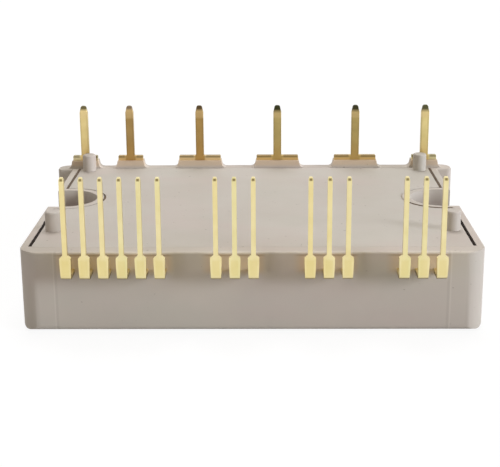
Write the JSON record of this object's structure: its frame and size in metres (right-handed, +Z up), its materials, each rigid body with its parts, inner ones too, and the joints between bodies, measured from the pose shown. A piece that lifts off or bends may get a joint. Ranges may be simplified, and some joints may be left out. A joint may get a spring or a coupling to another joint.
{
  "type": "igbt module",
  "caption": "Flat moulded power semiconductor module with upright solder pins along two sides, a metal heatsink base and U-shaped screw slots.",
  "frame": {"origin": "centre of the base plate's underside, the heatsink face", "axes": "+Z up from the heatsink towards the circuit board; +Y from the control pins towards the power terminals; +X to the right seen from the control pins"},
  "size_m": [0.07, 0.0526, 0.0231],
  "materials": {
    "base_metal": "nickel-plated metal plate with a fine rolled grain",
    "case_plastic": "warm beige-grey moulded resin, satin",
    "lid_plastic": "warm beige-grey moulded resin, satin",
    "pin_plating": "pale gold plating, satin",
    "terminal_plating": "pale gold plating, satin",
    "copper": "bare copper sheet",
    "ceramic": "white fired alumina",
    "silicon": "dark metallised silicon",
    "wire_aluminium": "bright drawn wire",
    "board_laminate": "green coated glass laminate",
    "ic_resin": "black moulding resin",
    "gel": "clear soft silicone"
  },
  "bodies": {
    "root": {"back_copper": "copper", "base_plate": "base_metal", "bond_wires": "wire_aluminium", "case_frame": "case_plastic", "ceramic_substrate": "ceramic", "control_board": "board_laminate", "control_pin_01": "pin_plating", "control_pin_02": "pin_plating", "control_pin_03": "pin_plating", "control_pin_04": "pin_plating", "control_pin_05": "pin_plating", "control_pin_06": "pin_plating", "control_pin_07": "pin_plating", "control_pin_08": "pin_plating", "control_pin_09": "pin_plating", "control_pin_10": "pin_plating", "control_pin_11": "pin_plating", "control_pin_12": "pin_plating", "control_pin_13": "pin_plating", "control_pin_14": "pin_plating", "control_pin_15": "pin_plating", "diode_chip_1": "silicon", "diode_chip_2": "silicon", "diode_chip_3": "silicon", "diode_chip_4": "silicon", "diode_chip_5": "silicon", "diode_chip_6": "silicon", "driver_ic_1": "ic_resin", "driver_ic_2": "ic_resin", "driver_ic_3": "ic_resin", "driver_ic_4": "ic_resin", "igbt_chip_1": "silicon", "igbt_chip_2": "silicon", "igbt_chip_3": "silicon", "igbt_chip_4": "silicon", "igbt_chip_5": "silicon", "igbt_chip_6": "silicon", "lid": "lid_plastic", "negative_track": "copper", "phase_track_u": "copper", "phase_track_v": "copper", "phase_track_w": "copper", "positive_track": "copper", "power_terminal_1": "terminal_plating", "power_terminal_2": "terminal_plating", "power_terminal_3": "terminal_plating", "power_terminal_4": "terminal_plating", "power_terminal_5": "terminal_plating", "power_terminal_6": "terminal_plating", "silicone_gel": "gel"}
  },
  "joints": []
}
